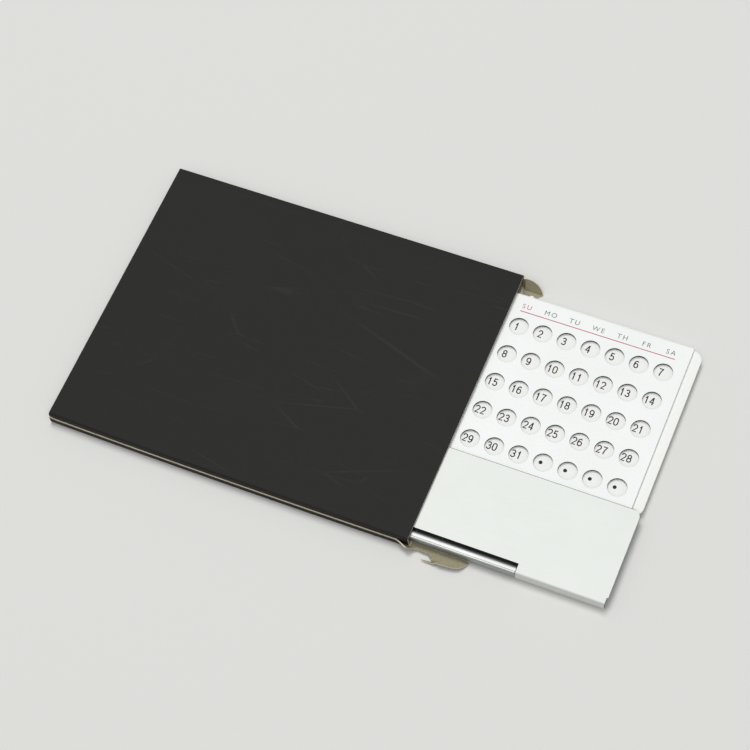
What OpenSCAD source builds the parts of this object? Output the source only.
// Perpetual desk calendar of folded aluminium sheet, drawn half out of its card sleeve.
// Millimetres. The origin is the centre of the sleeve's underside; +X runs along the weekdays,
// +Y towards the calendar's top edge and +Z up from the table.

/* [Windows] */
// Weekday columns of windows; the first stands on the calendar's centre line
columns = 7; // [7]
// Rows of windows
rows = 5; // [5]
// Distance between two columns
column_pitch = 10; // [9:0.5:14]
// Distance between two rows
row_pitch = 13.2; // [11:0.2:16]
// Diameter of a window
window_d = 7.7; // [6:0.1:8.4]
// From the top edge down to the first row of windows
header_h = 14.6; // [10:0.1:18]
// From the last row of windows down to the cover's upper edge
footer_h = 6.7; // [5:0.1:10]
// From the last column of windows to the end of the case
end_margin = 12.2; // [10:0.1:18]
// Thickness of the window plate
plate_t = 0.8; // [0.5:0.05:0.9]
// Outside radius of the bend along the plate's top edge
plate_bend_r = 1; // [1:0.05:1.2]
// How far the plate stops short of each end of the case
plate_inset = 4.2; // [2:0.1:7]
// Width of the flange that is riveted to the rear panel
flange_w = 7; // [5:0.5:10]
// Width of the small burr left on the plate's top edge
burr_w = 2.2; // [1:0.1:4]
// How far that burr stands out
burr_l = 0.5; // [0.2:0.1:0.8]

/* [Case] */
// Thickness of the case's sheet
sheet_t = 0.8; // [0.6:0.05:1]
// Outside radius of the two bends along the bottom edge
bend_r = 1.1; // [1.1:0.05:1.6]
// Height of the front cover from the bottom edge
cover_h = 40.4; // [36:0.1:60]
// Radius of the cover's two upper corners
cover_corner_r = 3; // [1:0.5:6]
// How far the ends of the folded edge are cut back from the cover's ends
fold_inset = 0.5; // [0.2:0.1:1.5]
// Height of that cut-back
fold_relief_h = 3; // [2:0.1:6]
// How far the rear panel stops short of the cover's ends
rear_inset = 1.7; // [0.5:0.1:4]
// Radius of the rear panel's two upper corners
rear_corner_r = 4; // [2:0.5:8]

/* [Date card] */
// Thickness of the date card
card_t = 0.5; // [0.3:0.05:0.8]
// Radius of the card's corners
card_corner_r = 4.2; // [2:0.1:6]
// How far the card reaches down behind the cover
card_hidden_h = 1.8; // [1.6:0.1:3]
// Thickness of the liner that the card slides on
liner_t = 1.3; // [0.8:0.1:2]
// Diameter of the peg that stops the card
peg_d = 2; // [1.5:0.1:2.4]

/* [Stand] */
// Length of the slot in the bottom edge that shows the foot's knuckle
slot_w = 73; // [50:1:90]
// Diameter of the hinge pin
pin_d = 2.3; // [1.6:0.1:2.5]
// Radius of the knuckle's two front corners; behind the pin it is round
knuckle_corner_r = 0.7; // [0.4:0.1:1.2]
// Length of each block that holds an end of the pin
block_l = 9; // [6:0.5:14]
// Depth of each block, from the fold's inside
block_depth = 5; // [4:0.5:8]
// Width of the foot's strut
strut_w = 10; // [6:0.5:10.5]
// Length of the strut, from the pin to its tip
strut_l = 70; // [50:1:85]

/* [Rivets] */
// Rivets on each side of the strut
rivets_a_side = 2; // [2]
// From the centre line to the first rivet
rivet_first_x = 20; // [14:1:26]
// Distance between two rivets
rivet_pitch = 36; // [24:1:42]
// Diameter of a rivet's shank
rivet_d = 2.4; // [1.6:0.1:3]
// Diameter of a rivet's head
rivet_head_d = 4; // [3.4:0.1:4.6]
// Height of a rivet's head
rivet_head_h = 0.7; // [0.4:0.1:1.2]

/* [Sleeve] */
// Thickness of the sleeve's board
board_t = 0.5; // [0.3:0.05:0.8]
// How far the calendar is drawn out: from the sleeve's mouth to the first column of windows
shown_l = 6; // [5.8:0.1:40]
// Room between the calendar and the far wall
far_room = 6.7; // [5.5:0.1:10]
// Room between the closed end and the calendar when it is pushed home
end_room = 8.4; // [4:0.1:14]
// Height of the near wall, whose raw upper edge shows in front of the glue flap
near_wall_h = 3.2; // [2:0.1:5]
// Length of the tongue that is tucked under the top panel
tuck_l = 12; // [8:0.5:20]
// Width of each flap behind the closed end
end_flap_w = 42; // [25:1:55]
// Length of the flap at the mouth's far corner
far_flap_l = 8.8; // [7:0.1:12]
// Straight stretch of the far flap's upper edge, before it rounds down to the tip
far_flap_shoulder = 2; // [1:0.1:4]
// Angle by which the far flap leans outward
far_flap_lean = 28; // [10:1:40]
// Stretch behind the crease in which the far flap goes from upright to that angle
far_flap_twist_l = 3; // [2:0.5:5]
// How far the far flap's foot has slid in towards the calendar
far_flap_slide = 3; // [1:0.1:3.5]
// Length of the flap at the mouth's near corner
near_flap_l = 24.5; // [14:0.5:30]
// Angle by which the near flap has fallen outward
near_flap_lean = 68; // [30:1:70]
// Stretch behind the crease in which the near flap falls from upright to that angle
near_flap_twist_l = 8; // [5:0.5:12]
// Radius of the near flap's rounded tip
near_flap_tip_r = 4; // [2:0.5:5]

/* [Clearances] */
// Below the card
card_play_under = 0.1; // [0.05:0.05:0.2]
// Above the card
card_play_over = 0.4; // [0.1:0.05:0.6]
// Between the card's edges and the lips that guide it
card_play_side = 0.1; // [0.05:0.05:0.3]
// Between the peg and the ends and the back of the card's notch
peg_play = 0.2; // [0.1:0.05:0.4]
// Between the window plate and the cover
cover_gap = 0.1; // [0.05:0.05:0.4]
// Between the hinge pin and the knuckle's bore, on the radius
pin_play = 0.05; // [0.02:0.01:0.1]
// How far the knuckle stays inside the case's thickness on either side
knuckle_recess = 0.45; // [0.2:0.05:0.5]
// How far the knuckle stays behind the folded edge
knuckle_setback = 0.05; // [0.05:0.05:0.2]
// Between the knuckle and the slot's edge
slot_gap = 0.45; // [0.1:0.05:0.6]
// Between the knuckle's ends and the slot's ends
knuckle_end_gap = 0.25; // [0.15:0.05:0.5]
// Between the strut and its cut-out in the rear panel
strut_gap = 0.4; // [0.2:0.05:0.8]
// How far the strut lies below either face of the rear panel
strut_recess = 0.05; // [0.02:0.01:0.1]
// Between the calendar and the sleeve's bottom panel
under_gap = 0.1; // [0.05:0.05:0.3]
// Between the calendar and the tongue under the sleeve's top panel
over_gap = 0.2; // [0.1:0.05:0.5]
// Between the calendar's bottom edge and the sleeve's glue flap
near_gap = 1.2; // [0.4:0.05:2]
// Between a wall's end and the crease that its flap turns on
crease_gap = 0.3; // [0.3:0.02:0.5]
// Between the feet of the two flaps at the mouth and the table
flap_lift = 0.05; // [0.02:0.01:0.2]
// How far the near flap's foot reaches in under the calendar's rounded edge
flap_tuck = 0.1; // [0:0.05:0.3]

/* [Hidden] */
$fn = 64;
// Overlap of a cutting shape past the faces that it cuts
cut = 1;
// Steps along a flap at the mouth; its last ring stops just short of the tip's end, where the
// section would shrink to a line
flap_steps = 16;
flap_last_ring = 0.995;

aluminium = [0.86, 0.88, 0.87];
coated_white = [0.94, 0.95, 0.94];
steel = [0.7, 0.71, 0.72];
liner_grey = [0.62, 0.63, 0.63];
card_white = [0.96, 0.96, 0.94];
board_black = [0.17, 0.17, 0.16];
board_cream = [0.74, 0.7, 0.58];

// Overall sizes of the calendar, from its windows and the stack of its sheets
card_travel = (columns - 1) * column_pitch;
case_w = 2 * (card_travel + end_margin);
window_h = header_h + (rows - 1) * row_pitch + footer_h;
case_h = cover_h + window_h;
card_z = sheet_t + liner_t + card_play_under;
plate_z = card_z + card_t + card_play_over;
cover_z = plate_z + plate_t + cover_gap;
case_t = cover_z + sheet_t;
rear_w = case_w - 2 * rear_inset;
fold_w = case_w - 2 * fold_inset;
plate_w = case_w - 2 * plate_inset;

// The card's lower edge, and the plate's lower lip that guides it
card_low_y = cover_h - card_hidden_h;
card_high_y = case_h - plate_t - card_play_side;
lip_y = card_low_y - card_play_side - plate_t;
rivet_y = lip_y - flange_w / 2;
// The notch lies in the middle of the card, so the peg stands half the travel off the centre line
peg_x = card_travel / 2;
peg_y = card_low_y + peg_d / 2 + peg_play / 2;
notch_high_y = peg_y + peg_d / 2 + peg_play;

// Hinge of the foot
knuckle_r = case_t / 2 - knuckle_recess;
pin_y = knuckle_r + knuckle_setback;
pin_z = case_t / 2;
slot_high_y = pin_y + knuckle_r + slot_gap;
pin_l = slot_w + 2 * block_l;
strut_t = sheet_t - 2 * strut_recess;

// Sleeve, and the calendar's place in it
sleeve_l = case_w + end_room + 2 * board_t;
sleeve_w = case_h + near_gap + far_room + 3 * board_t;
sleeve_h = case_t + under_gap + over_gap + 3 * board_t;
mouth_x = sleeve_l / 2;
case_x = mouth_x + shown_l;
wall_y = sleeve_w / 2;
wall_h = sleeve_h - 2 * board_t;
case_y = -wall_y + 2 * board_t + near_gap;
case_z = board_t + under_gap;

// Rectangle with its lower left and upper right corners at low and high, and round corners
module round_rect(low, high, r) {
  translate([low.x + r, low.y]) square([high.x - low.x - 2 * r, high.y - low.y]);
  translate([low.x, low.y + r]) square([high.x - low.x, high.y - low.y - 2 * r]);
  for (x = [low.x + r, high.x - r])
    for (y = [low.y + r, high.y - r])
      translate([x, y]) circle(r);
}

// Puts a shape drawn from the middle of the case's bottom edge, on its rear face, into its place
module in_case() {
  translate([case_x, case_y, case_z]) children();
}

// Extrudes a section drawn in Y and Z along X, centred
module along_x(length) {
  rotate([90, 0, 90]) linear_extrude(length, center = true) children();
}

// Round bar or hole along the hinge axis
module on_hinge(length, r) {
  translate([0, pin_y, pin_z]) rotate([0, 90, 0]) cylinder(h = length, r = r, center = true);
}

// Places of the rivets along the flange
module at_rivets() {
  for (side = [-1, 1])
    for (i = [0 : rivets_a_side - 1])
      translate([side * (rivet_first_x + i * rivet_pitch), rivet_y, 0]) children();
}

// The inside of the folded edge, as a section in Y and Z, up to a given depth
module fold_inside(depth) {
  intersection() {
    round_rect([sheet_t, sheet_t], [depth + case_t, case_t - sheet_t], bend_r - sheet_t);
    square([depth, case_t]);
  }
}

// Section of the two bends and the wall between them
module fold_section() {
  difference() {
    intersection() {
      round_rect([0, 0], [2 * case_t, case_t], bend_r);
      square([bend_r, case_t]);
    }
    fold_inside(bend_r + cut);
  }
}

// Flat panel of the case from the bends up to high_y, with round upper corners
module case_panel(width, high_y, r) {
  linear_extrude(sheet_t) intersection() {
    round_rect([-width / 2, -2 * r], [width / 2, high_y], r);
    translate([-width / 2, bend_r]) square([width, high_y]);
  }
}

// Cuts the ends of the folded edge back from the cover's ends
module fold_relief() {
  for (side = [-1, 1])
    translate([side * (fold_w / 2 + fold_inset), 0, case_t / 2])
      cube([2 * fold_inset, 2 * fold_relief_h, case_t + 2 * cut], center = true);
}

module case_shell() {
  color(aluminium) in_case() difference() {
    union() {
      along_x(fold_w) fold_section();
      case_panel(rear_w, case_h, rear_corner_r);
      translate([0, 0, cover_z]) case_panel(case_w, cover_h, cover_corner_r);
    }
    fold_relief();
    translate([-slot_w / 2, -cut, -cut]) cube([slot_w, slot_high_y + cut, case_t + 2 * cut]);
    translate([-strut_w / 2 - strut_gap, 0, -cut])
      cube([strut_w + 2 * strut_gap, pin_y + strut_l + strut_gap, sheet_t + 2 * cut]);
    at_rivets() translate([0, 0, -cut]) cylinder(h = sheet_t + 2 * cut, d = rivet_d);
    translate([peg_x, peg_y, -cut]) cylinder(h = sheet_t + 2 * cut, d = peg_d);
  }
}

// Section of the window plate: top lip, bend, face, lower lip and flange
module plate_section() {
  plate_high_z = plate_z + plate_t;
  difference() {
    union() {
      translate([lip_y, plate_z]) square([case_h - plate_bend_r - lip_y, plate_t]);
      translate([case_h - plate_t, sheet_t]) square([plate_t, plate_high_z - plate_bend_r - sheet_t]);
      translate([lip_y, sheet_t]) square([plate_t, plate_z - sheet_t]);
      translate([lip_y - flange_w, sheet_t]) square([flange_w, plate_t]);
      translate([case_h - plate_bend_r, plate_high_z - plate_bend_r]) intersection() {
        circle(plate_bend_r);
        square(plate_bend_r);
      }
    }
    translate([case_h - plate_bend_r, plate_high_z - plate_bend_r]) circle(plate_bend_r - plate_t);
  }
}

module window_plate() {
  color(coated_white) in_case() difference() {
    union() {
      along_x(plate_w) plate_section();
      translate([-burr_w / 2, case_h - plate_bend_r, plate_z])
        cube([burr_w, plate_bend_r + burr_l, plate_t - plate_bend_r + burr_l]);
    }
    for (column = [0 : columns - 1])
      for (row = [0 : rows - 1])
        translate([column * column_pitch, case_h - header_h - row * row_pitch, plate_z - cut / 2])
          cylinder(h = plate_t + cut, d = window_d);
    at_rivets() cylinder(h = sheet_t + plate_t + cut, d = rivet_d);
  }
}

module plate_rivets() {
  color(steel) in_case() at_rivets() {
    cylinder(h = sheet_t + plate_t, d = rivet_d);
    translate([0, 0, sheet_t + plate_t]) cylinder(h = rivet_head_h, d = rivet_head_d);
  }
}

module slip_sheet() {
  color(liner_grey) in_case() difference() {
    translate([-rear_w / 2, card_low_y, sheet_t])
      cube([rear_w, card_high_y - card_low_y - rear_corner_r, liner_t]);
    translate([peg_x, peg_y, 0]) cylinder(h = sheet_t + liner_t + cut, d = peg_d);
  }
}

module stop_peg() {
  color(steel) in_case() translate([peg_x, peg_y, 0]) cylinder(h = card_z + card_t, d = peg_d);
}

module hinge_pin() {
  color(steel) in_case() on_hinge(pin_l, pin_d / 2);
}

module hinge_blocks() {
  color(steel) in_case() difference() {
    for (side = [-1, 1])
      translate([side * (slot_w + block_l) / 2, 0, 0]) along_x(block_l) fold_inside(block_depth);
    on_hinge(pin_l + 2 * cut, pin_d / 2);
  }
}

module date_card() {
  notch_l = card_travel + peg_d + 2 * peg_play;
  color(card_white) in_case() translate([0, 0, card_z]) linear_extrude(card_t) difference() {
    round_rect([-case_w / 2, card_low_y], [case_w / 2, card_high_y], card_corner_r);
    translate([-notch_l / 2, card_low_y - cut]) square([notch_l, notch_high_y - card_low_y + cut]);
  }
}

// Section of the knuckle round the hinge axis: flat in front, where it closes the slot, round behind
module knuckle_section() {
  circle(knuckle_r);
  intersection() {
    round_rect([-knuckle_r, -knuckle_r], [knuckle_r, knuckle_r], knuckle_corner_r);
    translate([-knuckle_r, -knuckle_r]) square([knuckle_r, 2 * knuckle_r]);
  }
}

module foot_knuckle() {
  color(aluminium) in_case() difference() {
    translate([0, pin_y, pin_z]) along_x(slot_w - 2 * knuckle_end_gap) knuckle_section();
    on_hinge(slot_w + 2 * cut, pin_d / 2 + pin_play);
  }
}

module foot_strut() {
  tip_r = strut_w / 2;
  color(aluminium) in_case() difference() {
    translate([0, pin_y, strut_recess]) linear_extrude(strut_t) {
      translate([-strut_w / 2, 0]) square([strut_w, strut_l - tip_r]);
      translate([0, strut_l - tip_r]) circle(tip_r);
    }
    on_hinge(slot_w, knuckle_r);
  }
}

// Flat board of the sleeve between two corners
module board(low, high) {
  color(board_black) translate(low) cube(high - low);
}

module sleeve_top_panel() {
  board([-mouth_x, -wall_y, sleeve_h - board_t], [mouth_x, wall_y, sleeve_h]);
}

module sleeve_bottom_panel() {
  board([-mouth_x, -wall_y, 0], [mouth_x, wall_y, board_t]);
}

module sleeve_far_wall() {
  board([-mouth_x, wall_y - board_t, board_t], [mouth_x, wall_y, board_t + wall_h]);
}

module sleeve_near_wall() {
  board([-mouth_x, -wall_y, board_t], [mouth_x, -wall_y + board_t, board_t + near_wall_h]);
}

module sleeve_glue_flap() {
  board([-mouth_x + board_t, -wall_y + board_t, 2 * board_t],
        [mouth_x - board_t, -wall_y + 2 * board_t, board_t + wall_h]);
}

module sleeve_end_panel() {
  board([-mouth_x, -wall_y + board_t, board_t],
        [-mouth_x + board_t, wall_y - board_t, board_t + wall_h]);
}

module sleeve_tuck_flap() {
  low_y = -wall_y + 2 * board_t;
  high_y = wall_y - board_t;
  taper = tuck_l / 2;
  color(board_black) translate([-mouth_x + board_t, 0, sleeve_h - 2 * board_t]) linear_extrude(board_t)
    polygon([[0, low_y], [taper, low_y], [tuck_l, low_y + taper],
             [tuck_l, high_y - taper], [taper, high_y], [0, high_y]]);
}

module sleeve_end_flap_far() {
  board([-mouth_x + board_t, wall_y - board_t - end_flap_w, board_t],
        [-mouth_x + 2 * board_t, wall_y - board_t, wall_h]);
}

module sleeve_end_flap_near() {
  board([-mouth_x + board_t, -wall_y + 2 * board_t, board_t],
        [-mouth_x + 2 * board_t, -wall_y + 2 * board_t + end_flap_w, wall_h]);
}

// Corners of a mouth flap's section at a distance s along it, for the near corner. The board is
// upright at its crease; over twist_l it comes to lean outward, and its foot slides in.
function smooth(u) = let (v = max(0, min(1, u))) v * v * (3 - 2 * v);
function flap_ring(s, height, lean, slide, twist_l) = let (
    turn = smooth(s / twist_l),
    up = [0, -sin(lean * turn), cos(lean * turn)],
    out = [0, -cos(lean * turn), -sin(lean * turn)],
    foot_z = board_t * (1 - turn) + board_t * sin(lean * turn) + flap_lift,
    foot = [s, board_t / 2 + slide * turn, foot_z])
  [foot, foot + board_t * out, foot + board_t * out + height * up, foot + height * up];

// Solid through the rings of a flap, with its crease at the sleeve's near corner
module flap(rings) {
  points = [for (ring = rings) for (corner = ring) corner];
  last = 4 * (len(rings) - 1);
  sides = [for (a = [0 : 4 : last - 4]) for (k = [0 : 3]) for (face =
    let (b = a + k, c = a + (k + 1) % 4) [[b, b + 4, c], [c, b + 4, c + 4]]) face];
  ends = [[0, 1, 2], [0, 2, 3], [last, last + 2, last + 1], [last, last + 3, last + 2]];
  color(board_cream) translate([mouth_x + crease_gap, -wall_y + board_t / 2, 0])
    polyhedron(points = points, faces = concat(sides, ends));
}

// The far flap's upper edge is straight at first and then one arc down to its tip
function far_flap_height(s) = let (
    round_l = far_flap_l - far_flap_shoulder,
    round_r = (round_l ^ 2 + wall_h ^ 2) / (2 * wall_h),
    past = max(0, s - far_flap_shoulder))
  wall_h - round_r + sqrt(round_r ^ 2 - past ^ 2);

module far_flap() {
  ring_pitch = far_flap_l * flap_last_ring / flap_steps;
  mirror([0, 1, 0]) flap([for (i = [0 : flap_steps]) let (s = i * ring_pitch)
    flap_ring(s, far_flap_height(s), far_flap_lean, far_flap_slide, far_flap_twist_l)]);
}

// The near flap widens from the near wall's height and ends in a rounded tip
function near_flap_height(s) = let (
    body_h = near_wall_h + (wall_h - near_wall_h) * smooth(s / near_flap_twist_l),
    past = max(0, s - near_flap_l + near_flap_tip_r))
  body_h - near_flap_tip_r + sqrt(near_flap_tip_r ^ 2 - past ^ 2);

module near_flap() {
  ring_pitch = near_flap_l * flap_last_ring / flap_steps;
  slide = board_t + near_gap + flap_tuck;
  flap([for (i = [0 : flap_steps]) let (s = i * ring_pitch)
    flap_ring(s, near_flap_height(s), near_flap_lean, slide, near_flap_twist_l)]);
}

case_shell();
window_plate();
plate_rivets();
slip_sheet();
stop_peg();
hinge_pin();
hinge_blocks();
date_card();
foot_knuckle();
foot_strut();
sleeve_top_panel();
sleeve_bottom_panel();
sleeve_far_wall();
sleeve_near_wall();
sleeve_glue_flap();
sleeve_end_panel();
sleeve_tuck_flap();
sleeve_end_flap_far();
sleeve_end_flap_near();
far_flap();
near_flap();
